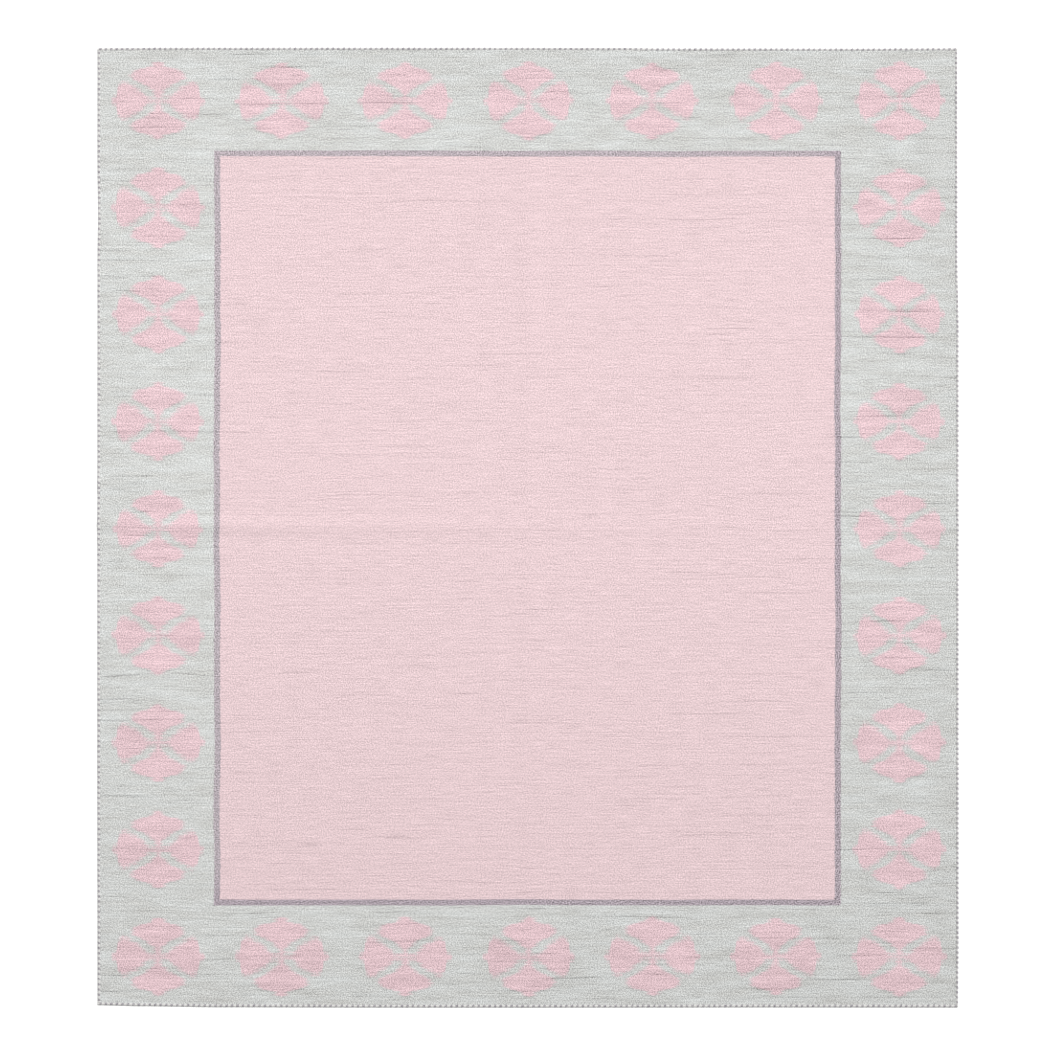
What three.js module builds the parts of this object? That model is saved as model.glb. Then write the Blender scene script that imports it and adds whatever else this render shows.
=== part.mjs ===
// A room-size flatweave rug lying flat on a floor: one piece of weft-faced wool cloth, with a rounded
// overcast edge along each of its four sides. Two soft folds, left from being stored folded in four,
// still show where they cross at its middle, and its side borders are puckered a little.
//
// Millimetres. X runs along the weft, from selvedge to selvedge, Y along the warp, and Z up.
// The origin is on the floor, under the middle of the rug.

import * as THREE from "three";

// Driving sizes
const WIDTH = 2743; // over the overcast edges, 9 feet
const LENGTH = 3057; // over the overcast edges, about 10 feet
const CLOTH_THICK = 4; // a heavy wool flatweave
const EDGE_WIDTH = 8; // an overcast edge seen from above
const EDGE_HEIGHT = 5.6; // a turn of yarn more than the cloth
const EDGE_ROUNDING = 2.3; // radius of its four long corners
const GAP = 0.3; // between touching pieces

// How finely the pieces are divided
const STEP = 150; // at most, along a side
const CLEAR_OF_CREASE = 30; // an even division this near to a line of a crease is left out
const CORNER_STEPS = 2; // in each rounded corner of an edge

// The outline is almost straight. A row says how far a side stands in from the full size, at a
// place along it.
const OUTLINE = {
  top: [
    { at: -1371, inset: 1.8 },
    { at: -1150, inset: 0 },
    { at: -300, inset: 0 },
    { at: 300, inset: 0.6 },
    { at: 420, inset: 2.4 },
    { at: 1050, inset: 3.0 },
    { at: 1371, inset: 2.0 },
  ],
  bottom: [
    { at: -1371, inset: 7.6 },
    { at: -1230, inset: 4.6 },
    { at: -980, inset: 1.2 },
    { at: -400, inset: 0 },
    { at: 200, inset: 0 },
    { at: 700, inset: 0.6 },
    { at: 1371, inset: 0.2 },
  ],
  left: [
    { at: -1528, inset: 0.8 },
    { at: -700, inset: 0 },
    { at: -200, inset: 0 },
    { at: 860, inset: 0.3 },
    { at: 990, inset: 1.8 },
    { at: 1180, inset: 0.3 },
    { at: 1528, inset: 0.6 },
  ],
  right: [
    { at: -1528, inset: 1.4 },
    { at: -1300, inset: 0 },
    { at: 640, inset: 0 },
    { at: 860, inset: 3.6 },
    { at: 1528, inset: 4.2 },
  ],
};

// Soft creases. Each runs along one axis, at a place on the other one, and slopes down to the floor
// on its low and its high side. A row says how high it stands, at a place along it.
const CREASES = {
  crossFold: {
    runs: "x",
    at: 4,
    lowReach: 42,
    highReach: 48,
    heights: [
      { at: -1371, high: 3.2 },
      { at: -1050, high: 4.0 },
      { at: -850, high: 4.4 },
      { at: -600, high: 3.0 },
      { at: -100, high: 1.8 },
      { at: 150, high: 1.1 },
      { at: 750, high: 0.7 },
      { at: 1050, high: 1.3 },
      { at: 1371, high: 1.8 },
    ],
  },
  longFold: {
    runs: "y",
    at: 2,
    lowReach: 48,
    highReach: 78,
    heights: [
      { at: -1528, high: 0.7 },
      { at: -900, high: 1.0 },
      { at: 0, high: 1.0 },
      { at: 450, high: 1.6 },
      { at: 1120, high: 2.4 },
      { at: 1300, high: 1.2 },
      { at: 1528, high: 0.8 },
    ],
  },
  upperLeftPucker: {
    runs: "x",
    at: 142,
    lowReach: 34,
    highReach: 30,
    heights: [
      { at: -1371, high: 2.0 },
      { at: -1210, high: 1.6 },
      { at: -1010, high: 0 },
    ],
  },
  lowerLeftPucker: {
    runs: "x",
    at: -44,
    lowReach: 30,
    highReach: 20,
    heights: [
      { at: -1371, high: 2.4 },
      { at: -1150, high: 1.7 },
      { at: -940, high: 0 },
    ],
  },
  rightPucker: {
    runs: "x",
    at: 655,
    lowReach: 36,
    highReach: 36,
    heights: [
      { at: 1010, high: 0 },
      { at: 1210, high: 1.2 },
      { at: 1371, high: 1.5 },
    ],
  },
};

// The value in one column of a table at a place along it, eased from row to row.
function readTable(rows, place, column) {
  const next = rows.findIndex((row) => row.at >= place);
  if (next === 0) return rows[0][column];
  if (next < 0) return rows[rows.length - 1][column];
  const from = rows[next - 1];
  const to = rows[next];
  const share = THREE.MathUtils.smoothstep(place, from.at, to.at);
  return THREE.MathUtils.lerp(from[column], to[column], share);
}

// How far the creases lift the rug off the floor. Where two of them cross, the higher one counts.
function liftAt(x, y) {
  const lifts = Object.values(CREASES).map(({ runs, at, lowReach, highReach, heights }) => {
    const [along, across] = runs === "x" ? [x, y - at] : [y, x - at];
    const share = Math.min(1, Math.abs(across) / (across < 0 ? lowReach : highReach));
    return readTable(heights, along, "high") * Math.cos((share * Math.PI) / 2) ** 2;
  });
  return Math.max(...lifts);
}

// Where a point of a perfectly straight and flat rug lies on this one.
function settle(x, y, z) {
  const rightShare = x / WIDTH + 0.5;
  const topShare = y / LENGTH + 0.5;
  const inFromLeft = (1 - rightShare) * readTable(OUTLINE.left, y, "inset");
  const inFromRight = rightShare * readTable(OUTLINE.right, y, "inset");
  const inFromBottom = (1 - topShare) * readTable(OUTLINE.bottom, x, "inset");
  const inFromTop = topShare * readTable(OUTLINE.top, x, "inset");
  return [x + inFromLeft - inFromRight, y + inFromBottom - inFromTop, z + liftAt(x, y)];
}

// Places across the rug along an axis, shared by the cloth and the edges so that they stay parallel:
// evenly spaced ones, and the foot, flank and top lines of each crease that they meet.
function placesAlong(axis) {
  const half = (axis === "x" ? WIDTH : LENGTH) / 2 - EDGE_WIDTH - GAP;
  const count = Math.ceil((2 * half) / STEP);
  const even = Array.from({ length: count - 1 }, (_, i) => -half + (2 * half * (i + 1)) / count);
  const lines = Object.values(CREASES)
    .filter(({ runs }) => runs !== axis)
    .flatMap(({ at, lowReach, highReach }) => [
      at - lowReach,
      at - lowReach / 2,
      at,
      at + highReach / 2,
      at + highReach,
    ]);
  const clear = even.filter((place) =>
    lines.every((line) => Math.abs(place - line) > CLEAR_OF_CREASE),
  );
  return [-half, ...clear, ...lines, half].sort((a, b) => a - b);
}

// Moves each point of a geometry to where a function puts it.
function reshape(geometry, place) {
  const points = geometry.getAttribute("position");
  for (let i = 0; i < points.count; i += 1) {
    points.setXYZ(i, ...place(points.getX(i), points.getY(i), points.getZ(i)));
  }
  geometry.computeVertexNormals();
  return geometry;
}

// The woven cloth: a thin slab between the edges, divided at the shared places.
function makeCloth() {
  const columns = placesAlong("x");
  const rows = placesAlong("y");
  const slab = new THREE.BoxGeometry(1, 1, 1, columns.length - 1, rows.length - 1, 1);
  return reshape(slab, (x, y, z) => {
    const column = Math.round((x + 0.5) * (columns.length - 1));
    const row = Math.round((y + 0.5) * (rows.length - 1));
    return settle(columns[column], rows[row], (z + 0.5) * CLOTH_THICK);
  });
}

// The section of an overcast edge: an upright rectangle with rounded corners that stands on the floor.
function edgeSection() {
  const x = EDGE_WIDTH / 2 - EDGE_ROUNDING;
  const bottom = EDGE_ROUNDING;
  const top = EDGE_HEIGHT - EDGE_ROUNDING;
  const quarter = Math.PI / 2;
  return new THREE.Shape()
    .moveTo(x, 0)
    .absarc(x, bottom, EDGE_ROUNDING, -quarter, 0)
    .absarc(x, top, EDGE_ROUNDING, 0, quarter)
    .absarc(-x, top, EDGE_ROUNDING, quarter, 2 * quarter)
    .absarc(-x, bottom, EDGE_ROUNDING, 2 * quarter, 3 * quarter);
}

// One overcast edge. Those at the top and the bottom run the whole width, and the side ones fit
// between them.
function makeEdge(axis, sign) {
  const inner = placesAlong(axis);
  const places = axis === "x" ? [-WIDTH / 2, ...inner, WIDTH / 2] : inner;
  const middle = ((axis === "x" ? LENGTH : WIDTH) - EDGE_WIDTH) / 2;
  const bar = new THREE.ExtrudeGeometry(edgeSection(), {
    depth: 1,
    steps: places.length - 1,
    curveSegments: CORNER_STEPS,
    bevelEnabled: false,
  });
  return reshape(bar, (offset, height, share) => {
    const along = places[Math.round(share * (places.length - 1))];
    const across = sign * middle;
    return axis === "x" ? settle(along, across + offset, height) : settle(across - offset, along, height);
  });
}

function addPiece(group, name, geometry, material) {
  const mesh = new THREE.Mesh(geometry, material);
  mesh.name = name;
  group.add(mesh);
}

const weave = new THREE.MeshStandardMaterial({ color: 0xead0d3, roughness: 0.95, metalness: 0 });
const overcasting = new THREE.MeshStandardMaterial({ color: 0xb9adb6, roughness: 0.9, metalness: 0 });

const rug = new THREE.Group();
addPiece(rug, "woven_cloth", makeCloth(), weave);
addPiece(rug, "overcast_edge_top", makeEdge("x", 1), overcasting);
addPiece(rug, "overcast_edge_bottom", makeEdge("x", -1), overcasting);
addPiece(rug, "overcast_edge_left", makeEdge("y", -1), overcasting);
addPiece(rug, "overcast_edge_right", makeEdge("y", 1), overcasting);

export default rug;
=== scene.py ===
"""The looks of a room-size flatweave wool rug, lying flat and seen from straight above.

X runs along the weft, Y along the warp, and Z up. Lengths in the tables and constants are in
millimetres, and MM turns them to Blender's metres.
"""

import math

import bpy
import numpy as np
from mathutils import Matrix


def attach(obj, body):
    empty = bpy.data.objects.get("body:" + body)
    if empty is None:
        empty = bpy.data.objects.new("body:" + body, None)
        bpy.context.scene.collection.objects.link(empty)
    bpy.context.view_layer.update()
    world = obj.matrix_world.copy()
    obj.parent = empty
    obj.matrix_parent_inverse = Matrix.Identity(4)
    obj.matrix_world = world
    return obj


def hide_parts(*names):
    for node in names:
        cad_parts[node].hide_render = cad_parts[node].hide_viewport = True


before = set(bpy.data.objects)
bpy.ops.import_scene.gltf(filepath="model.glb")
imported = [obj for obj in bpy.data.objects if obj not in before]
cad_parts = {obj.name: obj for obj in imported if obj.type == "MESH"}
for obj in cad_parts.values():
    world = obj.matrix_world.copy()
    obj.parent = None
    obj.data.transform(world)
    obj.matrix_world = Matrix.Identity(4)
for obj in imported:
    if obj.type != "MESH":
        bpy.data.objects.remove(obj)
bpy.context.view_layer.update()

MM = 0.001
MATH = "ShaderNodeMath"

# The rug's own sizes
WIDTH = 2743  # over the overcast edges
LENGTH = 3057
CLOTH_THICK = 4
EDGE_WIDTH = 8
EDGE_HEIGHT = 5.6

# The woven pattern. The mauve rectangle and the flowers each sit a little off the middle.
LINE_OUTER_X = 998  # half the rectangle's outer size
LINE_OUTER_Y = 1202
LINE_WIDE = 19.4  # its lines along the warp
LINE_HIGH = 18.6  # its lines along the weft
LINE_SHIFT = (-2.2, -2.2)
FLOWER_PITCH_X = 393.6
FLOWER_PITCH_Y = 340.7
FLOWER_SHIFT = (2.0, -4.2)
FLOWER_REACH = 160  # the charts below end inside this
PICK_ROW = 5  # the petals' outlines step by this much along the warp
BUNDLE_REACH = 60  # wefts this far apart turn back at warps of their own
FRAY = 5  # how far an outline moves with its bundles, and again with its stray fibres
LINE_FRAY_SHARE = 0.22  # of it, on the mauve lines along the warp
PETAL_SOFT = 11  # pink wool mixes with grey this far to each side of a petal's outline

# Half of the top petal, and of the bottom one: its half width at a distance up from the flower's centre
UPRIGHT_PETAL = [
    {"distance": 0, "half": 9},
    {"distance": 22, "half": 9},
    {"distance": 30, "half": 14},
    {"distance": 39, "half": 26},
    {"distance": 49, "half": 37},
    {"distance": 57, "half": 53},
    {"distance": 64, "half": 69},
    {"distance": 72, "half": 82},
    {"distance": 84, "half": 84},
    {"distance": 96, "half": 75},
    {"distance": 104, "half": 56},
    {"distance": 110, "half": 22},
    {"distance": 118, "half": 17},
    {"distance": 125, "half": 13},
    {"distance": 127, "half": 0},
]

# Half of a side petal: its half height at a distance out from the flower's centre
SIDE_PETAL = [
    {"distance": 0, "half": 8},
    {"distance": 25, "half": 8},
    {"distance": 35, "half": 12},
    {"distance": 45, "half": 22},
    {"distance": 57, "half": 33},
    {"distance": 70, "half": 43},
    {"distance": 85, "half": 50},
    {"distance": 98, "half": 58},
    {"distance": 112, "half": 61},
    {"distance": 127, "half": 48},
    {"distance": 132, "half": 14},
    {"distance": 140, "half": 10},
    {"distance": 146, "half": 6},
    {"distance": 148, "half": 0},
]

# How far each side stands in from the full size, at places along it
OUTLINE = {
    "top": [
        {"at": -1371, "inset": 1.8},
        {"at": -1150, "inset": 0},
        {"at": -300, "inset": 0},
        {"at": 300, "inset": 0.6},
        {"at": 420, "inset": 2.4},
        {"at": 1050, "inset": 3.0},
        {"at": 1371, "inset": 2.0},
    ],
    "bottom": [
        {"at": -1371, "inset": 7.6},
        {"at": -1230, "inset": 4.6},
        {"at": -980, "inset": 1.2},
        {"at": -400, "inset": 0},
        {"at": 200, "inset": 0},
        {"at": 700, "inset": 0.6},
        {"at": 1371, "inset": 0.2},
    ],
    "left": [
        {"at": -1528, "inset": 0.8},
        {"at": -700, "inset": 0},
        {"at": -200, "inset": 0},
        {"at": 860, "inset": 0.3},
        {"at": 990, "inset": 1.8},
        {"at": 1180, "inset": 0.3},
        {"at": 1528, "inset": 0.6},
    ],
    "right": [
        {"at": -1528, "inset": 1.4},
        {"at": -1300, "inset": 0},
        {"at": 640, "inset": 0},
        {"at": 860, "inset": 3.6},
        {"at": 1528, "inset": 4.2},
    ],
}

# Soft creases from storage, and small puckers beside them. Each runs along one axis, at a place on
# the other one, and slopes down to the floor on its low and its high side.
CREASES = {
    "cross_fold": {
        "runs": "x",
        "at": 4,
        "low_reach": 42,
        "high_reach": 48,
        "heights": [
            {"at": -1371, "high": 3.2},
            {"at": -1050, "high": 4.0},
            {"at": -850, "high": 4.4},
            {"at": -600, "high": 3.0},
            {"at": -100, "high": 1.8},
            {"at": 150, "high": 1.1},
            {"at": 750, "high": 0.7},
            {"at": 1050, "high": 1.3},
            {"at": 1371, "high": 1.8},
        ],
    },
    "long_fold": {
        "runs": "y",
        "at": 2,
        "low_reach": 48,
        "high_reach": 78,
        "heights": [
            {"at": -1528, "high": 0.7},
            {"at": -900, "high": 1.0},
            {"at": 0, "high": 1.0},
            {"at": 450, "high": 1.6},
            {"at": 1120, "high": 2.4},
            {"at": 1300, "high": 1.2},
            {"at": 1528, "high": 0.8},
        ],
    },
    "upper_left_pucker": {
        "runs": "x",
        "at": 142,
        "low_reach": 34,
        "high_reach": 30,
        "heights": [
            {"at": -1371, "high": 2.0},
            {"at": -1210, "high": 1.6},
            {"at": -1010, "high": 0},
        ],
    },
    "lower_left_pucker": {
        "runs": "x",
        "at": -44,
        "low_reach": 30,
        "high_reach": 20,
        "heights": [
            {"at": -1371, "high": 2.4},
            {"at": -1150, "high": 1.7},
            {"at": -940, "high": 0},
        ],
    },
    "right_pucker": {
        "runs": "x",
        "at": 655,
        "low_reach": 36,
        "high_reach": 36,
        "heights": [
            {"at": 1010, "high": 0},
            {"at": 1210, "high": 1.2},
            {"at": 1371, "high": 1.5},
        ],
    },
}

# The weft, as it is modelled on the cloth's mesh
ROWS = 1000  # one for each 3 mm of thick and thin yarn
COLUMN_STEP = 35
FOLD_COLUMN_STEP = 14  # across the long fold
UNDERSIDE_ROWS_SHARED = 20  # rows of the upper face for each row of the underside
SLUB_RELIEF = 0.17  # how far thick and thin weft stand above and below the middle
SLUB_PAINTED_SHADE = 0.0365  # and how much painted light and shade lighten and darken them, in step with their relief
GROOVES = 2600  # places where two wefts part: a groove in the relief, darkened with painted shade
GROOVE_DEPTH = 0.2
# Painted shade at the bottom of a groove
GROOVE_PAINTED_SHADE = 0.085
BORDER_GROOVES = 1.4  # times deeper and more darkly painted, as the border's wefts are looser
ROW_WANDER = 3.5  # how far the rows stray from straight
WANDER_SIZE = (210, 75)  # of one such wave, along the weft and along the warp
STRAIGHT_END = 150  # the rows straighten out over this much at the top and the bottom
CLOTH_TUCK = 1.2  # how far the cloth's edge reaches under the overcast wraps
SHARP_ANGLE = 50  # degrees, from which the cloth's sides meet its faces in a sharp corner
WEFT_SEED = 11

# The overcast edges
WRAP_PITCH = {"top": 17.2, "bottom": 17.5, "left": 16.5, "right": 15.8}
YARN_TURNS = 5  # turns of yarn side by side in a wrap
YARN_THICK = 2.3
YARN_STEP = 1.7  # from turn to turn, less than the yarn, as the turns are pressed together
CORE_SHARE = 0.85  # the edge cord's section, as a share of the whole edge's
ROUNDING_SHARE = 0.3  # the corners' radius in a section, as a share of its height
POINTS_ACROSS = 140  # on the line of an edge at the top or the bottom
POINTS_UP = 220  # and on that of a side edge

# Colours of the wool, in sRGB
FIELD_PINK = "#C5AFB2"
FLOWER_PINK = "#C2A8AD"
BORDER_GREY = "#B4B3AF"
BORDER_GREY_COOL = "#AFB2B2"
LINE_MAUVE = "#9D9499"
LINE_MAUVE_DARK = "#948A91"
WRAP_MAUVE = "#7D7880"
CORE_GREY = "#BFBEBC"
FLOOR_WHITE = "#F7F7F6"


def linear(hex_colour):
    """An sRGB hex value as linear RGBA."""
    parts = [int(hex_colour[i : i + 2], 16) / 255 for i in (1, 3, 5)]
    return [c / 12.92 if c <= 0.04045 else ((c + 0.055) / 1.055) ** 2.4 for c in parts] + [1]


def first_open(sockets):
    """The first socket in use, as some nodes keep hidden ones for their other modes."""
    return next(socket for socket in sockets if socket.enabled)


def add(tree, kind, inputs=(), **settings):
    """Adds a node with its settings. Its inputs in turn, or by name, take a value, a socket, or a
    node, which gives its first output."""
    node = tree.nodes.new(kind)
    for name, value in settings.items():
        setattr(node, name, value)
    if isinstance(inputs, dict):
        pairs = [(node.inputs[name], value) for name, value in inputs.items()]
    else:
        pairs = zip([socket for socket in node.inputs if socket.enabled], inputs)
    for socket, value in pairs:
        if isinstance(value, bpy.types.Node):
            value = first_open(value.outputs)
        if isinstance(value, bpy.types.NodeSocket):
            tree.links.new(value, socket)
        elif value is not None:
            socket.default_value = value
    return node


def read_table(rows, column, places):
    """The values in one column of a table at places along it, eased from row to row."""
    at = np.array([row["at"] for row in rows], float)
    values = np.array([row[column] for row in rows], float)
    places = np.clip(places, at[0], at[-1])
    first = np.clip(np.searchsorted(at, places, side="right") - 1, 0, len(at) - 2)
    share = (places - at[first]) / (at[first + 1] - at[first])
    share = share * share * (3 - 2 * share)
    return values[first] * (1 - share) + values[first + 1] * share


def lift_at(x, y):
    """How far the creases lift the rug off the floor. Where two of them cross, the higher counts."""
    highest = np.zeros(np.broadcast(x, y).shape)
    for crease in CREASES.values():
        along, across = (x, y - crease["at"]) if crease["runs"] == "x" else (y, x - crease["at"])
        reach = np.where(across < 0, crease["low_reach"], crease["high_reach"])
        share = np.minimum(1, np.abs(across) / reach)
        lift = read_table(crease["heights"], "high", along) * np.cos(share * math.pi / 2) ** 2
        highest = np.maximum(highest, lift)
    return highest


def settle(x, y, z):
    """Where points of a perfectly straight and flat rug lie on this one, as rows of X, Y and Z."""
    right_share = x / WIDTH + 0.5
    top_share = y / LENGTH + 0.5
    from_left = (1 - right_share) * read_table(OUTLINE["left"], "inset", y)
    from_right = right_share * read_table(OUTLINE["right"], "inset", y)
    from_bottom = (1 - top_share) * read_table(OUTLINE["bottom"], "inset", x)
    from_top = top_share * read_table(OUTLINE["top"], "inset", x)
    settled = (x + from_left - from_right, y + from_bottom - from_top, z + lift_at(x, y))
    return np.stack(np.broadcast_arrays(*settled), axis=-1) * MM


def hills(luck, x, y, cell_x, cell_y):
    """Random hills of about unit height over the rug, eased from cell to cell of a grid."""
    column = (x - x.min()) / cell_x
    row = (y - y.min()) / cell_y
    heights = luck.standard_normal((int(row.max()) + 2, int(column.max()) + 2))
    left = column.astype(int)
    low = row.astype(int)
    across = column - left
    up = row - low
    across = across * across * (3 - 2 * across)
    up = up * up * (3 - 2 * up)
    lower = heights[low, left] * (1 - across) + heights[low, left + 1] * across
    upper = heights[low + 1, left] * (1 - across) + heights[low + 1, left + 1] * across
    return lower * (1 - up) + upper * up


def smooth_along(values, reach):
    """Rows of random values, smoothed along each row over a reach in values, to the same spread."""
    offsets = np.arange(-3 * reach, 3 * reach + 1)
    kernel = np.exp(-0.5 * (offsets / reach) ** 2)
    kernel /= math.sqrt((kernel**2).sum())
    return np.apply_along_axis(lambda row: np.convolve(row, kernel, "same"), 1, values)


def weft_rows(luck, columns):
    """Thick and thin weft for each row and column of the cloth: its relief, and the painted light and shade
    that follow it.
    """
    lattice = np.arange(-WIDTH / 2, WIDTH / 2, FOLD_COLUMN_STEP)
    shape = (ROWS + 1, len(lattice))
    short = smooth_along(luck.standard_normal(shape), 2)
    long = smooth_along(luck.standard_normal(shape), 8)
    whole = luck.standard_normal((ROWS + 1, 1))
    slubs = 0.7 * short + 0.7 * long + 0.15 * whole
    slubs[1:-1] -= 0.3 * (slubs[:-2] + slubs[2:])
    # Painted light and shade follow the relief: thick weft is lighter, thin weft darker.
    relief = SLUB_RELIEF * slubs
    shade = SLUB_PAINTED_SHADE * slubs
    # Each groove dips the relief and is darkened with painted shade.
    for _ in range(GROOVES):
        row = luck.integers(2, ROWS - 1)
        middle = luck.uniform(-WIDTH / 2, WIDTH / 2)
        reach = luck.gamma(2.4, 20)  # 48 mm on average
        strength = min(luck.gamma(1.4, 0.5), 2.6)
        if abs(row / ROWS - 0.5) * LENGTH > LINE_OUTER_Y or abs(middle) > LINE_OUTER_X:
            strength *= BORDER_GROOVES
        ends = np.clip(1.5 - np.abs(lattice - middle) / reach, 0, 1) * strength
        relief[row] -= GROOVE_DEPTH * ends
        shade[row] -= GROOVE_PAINTED_SHADE * ends
    relief = [np.interp(columns, lattice, row) for row in relief]
    shade = [np.interp(columns, lattice, row) for row in shade]
    return np.array(relief), np.array(shade)


def plain_mesh(name, points, faces, materials, edges=()):
    """An object at the origin with a smooth-shaded mesh in metres."""
    mesh = bpy.data.meshes.new(name)
    mesh.from_pydata(points, edges, faces)
    for material in materials:
        mesh.materials.append(material)
    mesh.shade_smooth()
    piece = bpy.data.objects.new(name, mesh)
    bpy.context.scene.collection.objects.link(piece)
    return piece


def grid_faces(numbers):
    """Quads over a grid of point numbers whose rows go up in Y and columns in X, facing up."""
    corners = (numbers[:-1, :-1], numbers[:-1, 1:], numbers[1:, 1:], numbers[1:, :-1])
    return np.stack(corners, axis=-1).reshape(-1, 4).tolist()


def woven_cloth(material):
    """The cloth: an upper face with each 3 mm of weft as a row, a coarser underside, and its sides."""
    luck = np.random.default_rng(WEFT_SEED)
    half_x = WIDTH / 2 - EDGE_WIDTH + CLOTH_TUCK
    half_y = LENGTH / 2 - EDGE_WIDTH + CLOTH_TUCK
    fold = CREASES["long_fold"]
    fold_start = fold["at"] - fold["low_reach"]
    fold_end = fold["at"] + fold["high_reach"]
    columns = np.concatenate(
        [
            np.linspace(-half_x, fold_start, round((half_x + fold_start) / COLUMN_STEP), endpoint=False),
            np.arange(fold_start, fold_end, FOLD_COLUMN_STEP),
            np.linspace(fold_end, half_x, round((half_x - fold_end) / COLUMN_STEP)),
        ]
    )
    rows = np.linspace(-half_y, half_y, ROWS + 1)
    x, y = np.meshgrid(columns, rows)
    near_end = np.clip((half_y - np.abs(y)) / STRAIGHT_END, 0, 1)
    y = y + ROW_WANDER * near_end * hills(luck, x, y, *WANDER_SIZE)
    relief, shade = weft_rows(luck, columns)
    upper = settle(x, y, CLOTH_THICK + relief)
    lower = settle(x, y, np.zeros_like(x))[::UNDERSIDE_ROWS_SHARED]
    upper_numbers = np.arange(x.size).reshape(x.shape)
    lower_numbers = x.size + np.arange(lower[..., 0].size).reshape(lower.shape[:2])
    faces = grid_faces(upper_numbers)
    faces += [face[::-1] for face in grid_faces(lower_numbers)]
    for row, turn in ((0, -1), (-1, 1)):
        ends = np.stack([upper_numbers[row], lower_numbers[row]])
        faces += [face[::turn] for face in grid_faces(ends)]
    for column, turn in ((0, 1), (-1, -1)):
        for i in range(len(lower_numbers) - 1):
            first = i * UNDERSIDE_ROWS_SHARED
            above = upper_numbers[first : first + UNDERSIDE_ROWS_SHARED + 1, column].tolist()
            below = lower_numbers[i : i + 2, column].tolist()
            faces.append((above + below[::-1])[::turn])
    points = np.concatenate([upper.reshape(-1, 3), lower.reshape(-1, 3)])
    piece = plain_mesh("flatweave_cloth", points, faces, [material])
    piece.data.set_sharp_from_angle(angle=math.radians(SHARP_ANGLE))
    # The painted light and shade of the weft, for the material to read
    weft_painted_shade = piece.data.attributes.new("weft_painted_shade", "FLOAT", "POINT")
    weft_painted_shade.data.foreach_set("value", np.concatenate([shade.ravel(), np.zeros(lower[..., 0].size)]))
    return piece


def rounded_bar(tree, wide, high):
    """A closed line round a bar's section: a rectangle with well rounded corners."""
    line = add(tree, "GeometryNodeCurvePrimitiveQuadrilateral", {"Width": wide, "Height": high})
    radius = add(tree, MATH, [high, ROUNDING_SHARE], operation="MULTIPLY")
    rounded = {"Curve": line, "Count": 2, "Radius": radius, "Limit Radius": True}
    return add(tree, "GeometryNodeFilletCurve", rounded, mode="POLY")


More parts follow.
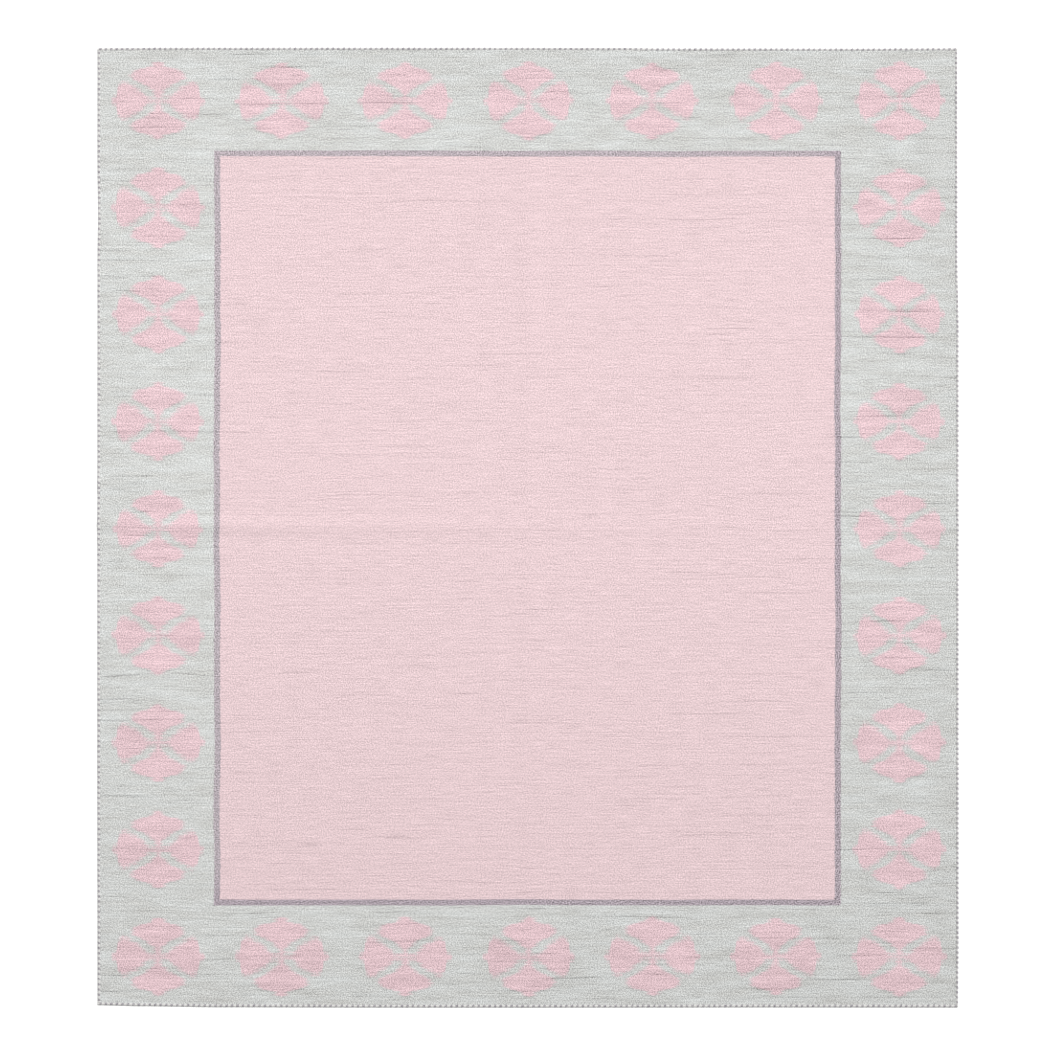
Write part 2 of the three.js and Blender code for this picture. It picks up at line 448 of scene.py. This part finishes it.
def overcast_tree(core_material, wrap_material):
    """A node tree that lays a cord along a line and wraps short bands of yarn turns round it."""
    tree = bpy.data.node_groups.new("overcast_edge", "GeometryNodeTree")
    sockets = tree.interface
    sockets.new_socket("Line", in_out="INPUT", socket_type="NodeSocketGeometry")
    for name in ("Width", "Height", "Core share", "Yarn", "Yarn step"):
        sockets.new_socket(name, in_out="INPUT", socket_type="NodeSocketFloat")
    for name in ("Wraps", "Turns", "Seed"):
        sockets.new_socket(name, in_out="INPUT", socket_type="NodeSocketInt")
    sockets.new_socket("Edge", in_out="OUTPUT", socket_type="NodeSocketGeometry")
    given = add(tree, "NodeGroupInput").outputs
    line = add(tree, "GeometryNodeMeshToCurve", [given["Line"]])

    # The cord inside, a rounded bar
    wide = add(tree, MATH, [given["Width"], given["Core share"]], operation="MULTIPLY")
    high = add(tree, MATH, [given["Height"], given["Core share"]], operation="MULTIPLY")
    section = rounded_bar(tree, wide, high)
    core = add(tree, "GeometryNodeCurveToMesh", {"Curve": line, "Profile Curve": section, "Fill Caps": True})
    core = add(tree, "GeometryNodeSetMaterial", {"Geometry": core, "Material": core_material})

    # One turn of yarn round it, standing across X, and a band of turns side by side
    wide = add(tree, MATH, [given["Width"], given["Yarn"]], operation="SUBTRACT")
    high = add(tree, MATH, [given["Height"], given["Yarn"]], operation="SUBTRACT")
    loop = rounded_bar(tree, wide, high)
    upright = {"Geometry": loop, "Rotation": (math.pi / 2, 0, math.pi / 2)}
    loop = add(tree, "GeometryNodeTransform", upright)
    thin = add(tree, MATH, [given["Yarn"], 0.5], operation="MULTIPLY")
    yarn = add(tree, "GeometryNodeCurvePrimitiveCircle", {"Resolution": 5, "Radius": thin})
    turn = add(tree, "GeometryNodeCurveToMesh", {"Curve": loop, "Profile Curve": yarn})
    turn = add(tree, "GeometryNodeSetMaterial", {"Geometry": turn, "Material": wrap_material})
    step = add(tree, "ShaderNodeCombineXYZ", [given["Yarn step"], 0.0, 0.0])
    back = add(tree, MATH, [given["Turns"], -1.0], operation="ADD")
    back = add(tree, MATH, [back, -0.5], operation="MULTIPLY")
    start = add(tree, "ShaderNodeVectorMath", {"Vector": step, "Scale": back}, operation="SCALE")
    places = {"Count": given["Turns"], "Start Location": start, "Offset": step}
    places = add(tree, "GeometryNodeMeshLine", places)
    band = add(tree, "GeometryNodeInstanceOnPoints", {"Points": places, "Instance": turn})
    band = add(tree, "GeometryNodeRealizeInstances", [band])

    # The line is divided in half pitches, and each second point gets a band, slanted and never
    # quite like its neighbours.
    count = add(tree, MATH, [given["Wraps"], 2.0, 1.0], operation="MULTIPLY_ADD")
    spots = add(tree, "GeometryNodeCurveToPoints", {"Curve": line, "Count": count}, mode="COUNT")
    along = add(tree, "FunctionNodeAlignRotationToVector", {"Vector": spots.outputs["Tangent"]}, axis="X")
    slant = {"Min": (-0.04, -0.02, 0.02), "Max": (0.04, 0.02, 0.14), "Seed": given["Seed"]}
    slant = add(tree, "FunctionNodeRandomValue", slant, data_type="FLOAT_VECTOR")
    slant = add(tree, "FunctionNodeEulerToRotation", [slant.outputs["Value"]])
    facing = add(tree, "FunctionNodeRotateRotation", [along, slant], rotation_space="LOCAL")
    other_seed = add(tree, MATH, [given["Seed"], 1.0], operation="ADD")
    plump = {"Min": (0.88, 0.97, 0.96), "Max": (1.06, 1.03, 1.0), "Seed": other_seed}
    plump = add(tree, "FunctionNodeRandomValue", plump, data_type="FLOAT_VECTOR")
    second = add(tree, "GeometryNodeInputIndex")
    second = add(tree, MATH, [second, 2.0], operation="MODULO")
    wraps = {"Points": spots, "Selection": second, "Instance": band, "Rotation": facing}
    wraps["Scale"] = plump.outputs["Value"]
    wraps = add(tree, "GeometryNodeInstanceOnPoints", wraps)
    edge = add(tree, "GeometryNodeJoinGeometry", [core])
    tree.links.new(wraps.outputs[0], edge.inputs[0])
    edge = add(tree, "GeometryNodeRealizeInstances", [edge])
    edge = add(tree, "GeometryNodeSetShadeSmooth", [edge])
    add(tree, "NodeGroupOutput", [edge])
    return tree


def overcast_edge(side, tree, seed):
    """One side's overcast edge. Those at the top and the bottom run the whole width."""
    sign = 1 if side in ("top", "right") else -1
    if side in ("top", "bottom"):
        x = np.linspace(-WIDTH / 2, WIDTH / 2, POINTS_ACROSS)
        y = np.full_like(x, sign * (LENGTH - EDGE_WIDTH) / 2)
    else:
        y = np.linspace(EDGE_WIDTH - LENGTH / 2, LENGTH / 2 - EDGE_WIDTH, POINTS_UP)
        x = np.full_like(y, sign * (WIDTH - EDGE_WIDTH) / 2)
    points = settle(x, y, EDGE_HEIGHT / 2)
    links = [(i, i + 1) for i in range(len(x) - 1)]
    piece = plain_mesh("overcast_binding_" + side, points, [], [], links)
    run = max(np.ptp(x), np.ptp(y))
    values = {
        "Width": EDGE_WIDTH * MM,
        "Height": EDGE_HEIGHT * MM,
        "Core share": CORE_SHARE,
        "Yarn": YARN_THICK * MM,
        "Yarn step": YARN_STEP * MM,
        "Wraps": round(run / WRAP_PITCH[side]),
        "Turns": YARN_TURNS,
        "Seed": seed,
    }
    wrapping = piece.modifiers.new("overcasting", "NODES")
    wrapping.node_group = tree
    for socket in tree.interface.items_tree:
        if socket.in_out == "INPUT" and socket.name in values:
            wrapping[socket.identifier] = values[socket.name]
    finished = piece.evaluated_get(bpy.context.evaluated_depsgraph_get())
    mesh = bpy.data.meshes.new_from_object(finished)
    piece.modifiers.clear()
    piece.data = mesh
    return piece


def new_material(name):
    """A material without any nodes yet."""
    material = bpy.data.materials.new(name)
    material.use_nodes = True
    material.node_tree.nodes.clear()
    return material


def petal_half(tree, chart, place):
    """A petal's half size in metres, read from its chart at a distance in metres."""
    reach = FLOWER_REACH * MM
    share = add(tree, MATH, [place, 1 / reach], operation="MULTIPLY", use_clamp=True)
    curve = add(tree, "ShaderNodeFloatCurve", [1.0, share])
    points = curve.mapping.curves[0].points
    stops = [(row["distance"] / FLOWER_REACH, row["half"] / FLOWER_REACH) for row in chart]
    points[0].location = stops[0]
    points[1].location = stops[-1]
    for stop in stops[1:-1]:
        points.new(*stop)
    for point in points:
        point.handle_type = "VECTOR"
    curve.mapping.update()
    return add(tree, MATH, [curve, reach], operation="MULTIPLY")


def flower_share(tree, across, up, fray):
    """1 on the petals of a flower and 0 off them, at a place given from the flower's centre. Fray
    moves the petals' outlines in and out."""
    across = add(tree, MATH, [across], operation="ABSOLUTE")
    up = add(tree, MATH, [up], operation="ABSOLUTE")
    upright = add(tree, MATH, [petal_half(tree, UPRIGHT_PETAL, up), across], operation="SUBTRACT")
    sideways = add(tree, MATH, [petal_half(tree, SIDE_PETAL, across), up], operation="SUBTRACT")
    inside = add(tree, MATH, [upright, sideways], operation="MAXIMUM")
    inside = add(tree, MATH, [inside, fray], operation="ADD")
    soft = [inside, -PETAL_SOFT * MM, PETAL_SOFT * MM]
    return add(tree, "ShaderNodeMapRange", soft, interpolation_type="SMOOTHSTEP")


def weft_faced_wool():
    """Hand-spun wool, woven weft-faced on a cotton warp: matt, pebbled at each crossing, streaked
    where the yarn is thick or thin, with painted light and shade on the thick and thin weft and in its
    grooves, and stepped at every change of colour, with a painted shadow below each petal."""
    material = new_material("weft_faced_wool")
    tree = material.node_tree
    place = add(tree, "ShaderNodeTexCoord").outputs["Object"]

    # Wefts wander a few millimetres as they are beaten in.
    slow = add(tree, "ShaderNodeVectorMath", [place, (1.6, 4.5, 1)], operation="MULTIPLY")
    wander = add(tree, "ShaderNodeTexNoise", [slow, 1.0, 2.0], noise_dimensions="2D")
    wander = [wander.outputs["Color"], (0.009, 0.011, 0), (-0.0045, -0.0055, 0)]
    wander = add(tree, "ShaderNodeVectorMath", wander, operation="MULTIPLY_ADD")
    woven = add(tree, "ShaderNodeVectorMath", [place, wander], operation="ADD")
    x, y, _ = add(tree, "ShaderNodeSeparateXYZ", [woven]).outputs

    # Where a colour changes, each small bundle of wefts turns back at a warp of its own, and fibres
    # of one colour stray into the other.
    bundle = add(tree, MATH, [y, 1 / (PICK_ROW * MM)], operation="MULTIPLY")
    bundle = add(tree, MATH, [bundle], operation="FLOOR")
    side = add(tree, MATH, [x, 1 / (BUNDLE_REACH * MM)], operation="MULTIPLY")
    side = add(tree, MATH, [side], operation="FLOOR")
    corner = add(tree, "ShaderNodeCombineXYZ", [side, bundle, 0.0])
    turn = add(tree, "ShaderNodeTexWhiteNoise", [corner], noise_dimensions="2D")
    turn = add(tree, "ShaderNodeMapRange", [turn, 0.0, 1.0, -FRAY * MM, FRAY * MM])
    fibres = add(tree, "ShaderNodeTexNoise", [place, 220.0, 1.0], noise_dimensions="2D")
    stray = add(tree, "ShaderNodeMapRange", [fibres, 0.3, 0.7, -FRAY * MM, FRAY * MM])
    fray = add(tree, MATH, [turn, stray], operation="ADD")

    # The mauve rectangle: the border lies outside it and the field inside.
    line_x = add(tree, MATH, [x, -LINE_SHIFT[0] * MM], operation="ADD")
    line_y = add(tree, MATH, [y, -LINE_SHIFT[1] * MM], operation="ADD")
    far_x = add(tree, MATH, [line_x], operation="ABSOLUTE")
    far_y = add(tree, MATH, [line_y], operation="ABSOLUTE")
    far_x = add(tree, MATH, [fray, LINE_FRAY_SHARE, far_x], operation="MULTIPLY_ADD")
    out_x = add(tree, MATH, [far_x, LINE_OUTER_X * MM], operation="SUBTRACT")
    out_y = add(tree, MATH, [far_y, LINE_OUTER_Y * MM], operation="SUBTRACT")
    out = add(tree, MATH, [out_x, out_y], operation="MAXIMUM")
    border = add(tree, "ShaderNodeMapRange", [out, -MM, MM])
    in_x = add(tree, MATH, [out_x, LINE_WIDE * MM], operation="ADD")
    in_y = add(tree, MATH, [out_y, LINE_HIGH * MM], operation="ADD")
    inner = add(tree, MATH, [in_x, in_y], operation="MAXIMUM")
    field = add(tree, "ShaderNodeMapRange", [inner, -MM, MM, 1.0, 0.0])

    # The nearest flower of the border, and the place on it. No two are quite alike.
    flower_x = add(tree, MATH, [x, -FLOWER_SHIFT[0] * MM], operation="ADD")
    flower_y = add(tree, MATH, [y, -FLOWER_SHIFT[1] * MM], operation="ADD")
    column = add(tree, MATH, [flower_x, 1 / (FLOWER_PITCH_X * MM)], operation="MULTIPLY")
    column = add(tree, MATH, [column], operation="ROUND")
    row = add(tree, MATH, [flower_y, 1 / (FLOWER_PITCH_Y * MM)], operation="MULTIPLY")
    row = add(tree, MATH, [row], operation="ROUND")
    number = add(tree, "ShaderNodeCombineXYZ", [column, row, 0.0])
    luck = add(tree, "ShaderNodeTexWhiteNoise", [number], noise_dimensions="2D").outputs["Color"]
    luck = add(tree, "ShaderNodeSeparateXYZ", [luck]).outputs
    grown = add(tree, "ShaderNodeMapRange", [luck["X"], 0.0, 1.0, 0.975, 1.02])
    across = add(tree, MATH, [column, -FLOWER_PITCH_X * MM, flower_x], operation="MULTIPLY_ADD")
    across = add(tree, MATH, [across, grown], operation="MULTIPLY")
    packed = add(tree, "ShaderNodeMapRange", [luck["Y"], 0.0, 1.0, 0.985, 1.035])
    up = add(tree, MATH, [row, -FLOWER_PITCH_Y * MM, flower_y], operation="MULTIPLY_ADD")
    up = add(tree, MATH, [up, packed], operation="MULTIPLY")
    up = add(tree, MATH, [up, PICK_ROW * MM], operation="SNAP")
    up = add(tree, MATH, [up, PICK_ROW / 2 * MM], operation="ADD")
    next_up = add(tree, MATH, [up, PICK_ROW * MM], operation="ADD")
    flower = flower_share(tree, across, up, fray)
    flower = add(tree, MATH, [flower, border], operation="MULTIPLY")
    flower_above = flower_share(tree, across, next_up, fray)
    flower_above = add(tree, MATH, [flower_above, border], operation="MULTIPLY")

    # The dyed wools. Two greys are mixed in the border, and the mauve came from two dye pots.
    mottle = add(tree, "ShaderNodeVectorMath", [place, (0.6, 3.2, 1)], operation="MULTIPLY")
    mottle = add(tree, "ShaderNodeTexNoise", [mottle, 9.0, 3.0, 0.62], noise_dimensions="2D")
    greys = [mottle, linear(BORDER_GREY), linear(BORDER_GREY_COOL)]
    grey = add(tree, "ShaderNodeMix", greys, data_type="RGBA")
    lower_end = add(tree, "ShaderNodeMapRange", [y, -1.1, -1.18])
    second_pot = add(tree, "ShaderNodeMapRange", [x, 0.9, 1.0])
    second_pot = add(tree, MATH, [second_pot, lower_end], operation="MAXIMUM")
    mauve = [second_pot, linear(LINE_MAUVE), linear(LINE_MAUVE_DARK)]
    mauve = add(tree, "ShaderNodeMix", mauve, data_type="RGBA")
    ground = add(tree, "ShaderNodeMix", [field, mauve, linear(FIELD_PINK)], data_type="RGBA")
    ground = add(tree, "ShaderNodeMix", [border, ground, grey], data_type="RGBA")
    wool = add(tree, "ShaderNodeMix", [flower, ground, linear(FLOWER_PINK)], data_type="RGBA")

    # Light and dark: painted light and shade of the thick and thin weft and its grooves, from the mesh,
    # shorter slubs between, and the pebbled grain of the crossings. The border's yarn is more uneven
    # than the field's, and the line's loose singles show light and dark at each crossing.
    weft_painted_shade = add(tree, "ShaderNodeAttribute", attribute_name="weft_painted_shade").outputs["Fac"]
    short = add(tree, "ShaderNodeVectorMath", [woven, (18, 330, 1)], operation="MULTIPLY")
    short = add(tree, "ShaderNodeTexNoise", [short, 1.0, 1.0], noise_dimensions="2D")
    short = add(tree, "ShaderNodeMapRange", [short, 0.2, 0.8, -0.1, 0.08], clamp=False)
    grain = add(tree, "ShaderNodeTexNoise", [place, 300.0, 1.0], noise_dimensions="2D")
    grain = add(tree, "ShaderNodeMapRange", [grain, 0.25, 0.75, -0.34, 0.33], clamp=False)
    streaks = add(tree, MATH, [weft_painted_shade, short], operation="ADD")
    uneven = add(tree, "ShaderNodeMapRange", [border, 0.0, 1.0, 1.0, 1.15])
    streaks = add(tree, MATH, [streaks, uneven], operation="MULTIPLY")
    rough = add(tree, MATH, [border, -1.35, 2.6], operation="MULTIPLY_ADD")
    rough = add(tree, MATH, [field, -1.6, rough], operation="MULTIPLY_ADD")
    shade = add(tree, MATH, [grain, rough, streaks], operation="MULTIPLY_ADD")

    # The border's dye is mottled, its grey is dyed a shade deeper towards the right, and the border is a
    # little lighter near the line and darker towards the edges. Below each petal, a painted shadow darkens
    # one row: the shade the thicker pink weft would cast.
    mottle = add(tree, "ShaderNodeMapRange", [mottle, 0.25, 0.75, -0.09, 0.09], clamp=False)
    # Lighter near the line and darker towards the edges
    darker_outward = add(tree, "ShaderNodeMapRange", [out, 0.05, 0.35, 0.01, -0.015])
    border_tone = add(tree, MATH, [mottle, darker_outward], operation="ADD")
    shade = add(tree, MATH, [border_tone, border, shade], operation="MULTIPLY_ADD")
    plain = add(tree, MATH, [border, flower], operation="SUBTRACT")
    deeper = add(tree, MATH, [x, -0.014], operation="MULTIPLY")
    shade = add(tree, MATH, [deeper, plain, shade], operation="MULTIPLY_ADD")
    # Painted shadow below each petal
    painted_petal_shadow = add(tree, MATH, [flower_above, flower], operation="SUBTRACT", use_clamp=True)
    shade = add(tree, MATH, [painted_petal_shadow, -0.13, shade], operation="MULTIPLY_ADD")
    shade = add(tree, MATH, [shade, 1.0], operation="ADD")
    wool = {"Vector": first_open(wool.outputs), "Scale": shade}
    wool = add(tree, "ShaderNodeVectorMath", wool, operation="SCALE")

    # Ribs over the warps, crossed by the picks. They are drawn 9 by 6 mm instead of 4 by 2, to show.
    ribs = add(tree, "ShaderNodeVectorMath", [place, (1 / 0.009, 1 / 0.006, 1)], operation="MULTIPLY")
    ribs = add(tree, "ShaderNodeTexVoronoi", [ribs, 1.0], voronoi_dimensions="2D")
    weave = {"Strength": 0.6, "Distance": 0.6 * MM, "Height": ribs.outputs["Distance"]}
    weave = add(tree, "ShaderNodeBump", weave, invert=True)
    raised = {"Strength": 0.3, "Distance": 0.4 * MM, "Height": flower, "Normal": weave}
    raised = add(tree, "ShaderNodeBump", raised)
    surface = {"Base Color": wool, "Normal": raised, "Roughness": 0.95, "Specular IOR Level": 0.15}
    surface.update({"Sheen Weight": 0.12, "Sheen Roughness": 0.6})
    surface = add(tree, "ShaderNodeBsdfPrincipled", surface)
    add(tree, "ShaderNodeOutputMaterial", [surface])
    return material


def spun_yarn(name, colour, roughness):
    """Plied wool yarn: matt, hairy, and a little uneven in its dye."""
    material = new_material(name)
    tree = material.node_tree
    place = add(tree, "ShaderNodeTexCoord").outputs["Object"]
    fleck = add(tree, "ShaderNodeTexNoise", [place, 260.0, 3.0])
    fleck = add(tree, "ShaderNodeMapRange", [fleck, 0.3, 0.7, 0.88, 1.1])
    dyed = {"Vector": linear(colour)[:3], "Scale": fleck}
    dyed = add(tree, "ShaderNodeVectorMath", dyed, operation="SCALE")
    hairs = add(tree, "ShaderNodeTexNoise", [place, 900.0, 2.0])
    hairs = add(tree, "ShaderNodeBump", {"Strength": 0.5, "Distance": 0.3 * MM, "Height": hairs})
    surface = {"Base Color": dyed, "Normal": hairs, "Roughness": roughness, "Specular IOR Level": 0.15}
    surface = add(tree, "ShaderNodeBsdfPrincipled", surface)
    add(tree, "ShaderNodeOutputMaterial", [surface])
    return material


# Camera, light and floor
PHOTO_SCALE = 3.185  # millimetres of the rug for each pixel of the photograph
PHOTO_SIZE = 1056
LENS = 85
SENSOR = 36
CAMERA_SHIFT = (-0.5, -2.2)  # the rug lies a fraction of a pixel off the photograph's middle
SURROUND = 0.57  # strength of the white surround
KEY_STRENGTH = 2.98
KEY_SPREAD = 12  # degrees
KEY_FROM = (3.6, 4.7, 5)  # metres
SOFT_BOX_SIZE = (8, 0.8)  # metres
SOFT_BOX_PLACE = (0, 0.8, 3.2)  # metres
SOFT_BOX_POWER = 68  # watts
FLOOR_HALF = 60  # metres


def camera():
    """A camera straight above the rug's middle, with the photograph's frame."""
    data = bpy.data.cameras.new("camera")
    data.lens = LENS
    data.sensor_width = SENSOR
    data.clip_end = 100
    seen = PHOTO_SCALE * PHOTO_SIZE * MM
    made = bpy.data.objects.new("camera", data)
    height = CLOTH_THICK * MM + seen * LENS / SENSOR
    made.location = (CAMERA_SHIFT[0] * MM, CAMERA_SHIFT[1] * MM, height)
    bpy.context.scene.collection.objects.link(made)
    bpy.context.scene.camera = made


def studio():
    """A white floor in a dim white surround, a sun-like lamp from beyond the top right corner, which
    shows the creases, and a long soft box over the rug, nearer to its top edge."""
    scene = bpy.context.scene
    scene.view_settings.view_transform = "Standard"
    world = bpy.data.worlds.new("studio")
    world.use_nodes = True
    world.node_tree.nodes["Background"].inputs["Color"].default_value = (1, 1, 1, 1)
    world.node_tree.nodes["Background"].inputs["Strength"].default_value = SURROUND
    scene.world = world
    lamp = bpy.data.lights.new("key", "SUN")
    lamp.energy = KEY_STRENGTH
    lamp.angle = math.radians(KEY_SPREAD)
    key = bpy.data.objects.new("key", lamp)
    key.location = KEY_FROM
    key.rotation_euler = key.location.to_track_quat("Z", "Y").to_euler()
    scene.collection.objects.link(key)
    lamp = bpy.data.lights.new("soft_box", "AREA")
    lamp.shape = "RECTANGLE"
    lamp.size, lamp.size_y = SOFT_BOX_SIZE
    lamp.energy = SOFT_BOX_POWER
    soft_box = bpy.data.objects.new("soft_box", lamp)
    soft_box.location = SOFT_BOX_PLACE
    soft_box.visible_camera = False
    scene.collection.objects.link(soft_box)
    material = new_material("painted_floor")
    tree = material.node_tree
    surface = {"Base Color": linear(FLOOR_WHITE), "Roughness": 0.9}
    surface = add(tree, "ShaderNodeBsdfPrincipled", surface)
    add(tree, "ShaderNodeOutputMaterial", [surface])
    corners = ((-1, -1), (1, -1), (1, 1), (-1, 1))
    points = [(x * FLOOR_HALF, y * FLOOR_HALF, 0) for x, y in corners]
    plain_mesh("floor", points, [(0, 1, 2, 3)], [material])


camera()
studio()
cloth = woven_cloth(weft_faced_wool())
grey_cord = spun_yarn("grey_wool_cord", CORE_GREY, 0.9)
mauve_yarn = spun_yarn("mauve_wool_yarn", WRAP_MAUVE, 0.9)
wrapping_tree = overcast_tree(grey_cord, mauve_yarn)
for seed, side in enumerate(WRAP_PITCH):
    edge = overcast_edge(side, wrapping_tree, seed)
    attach(edge, "root")
    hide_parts("overcast_edge_" + side)
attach(cloth, "root")
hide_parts("woven_cloth")
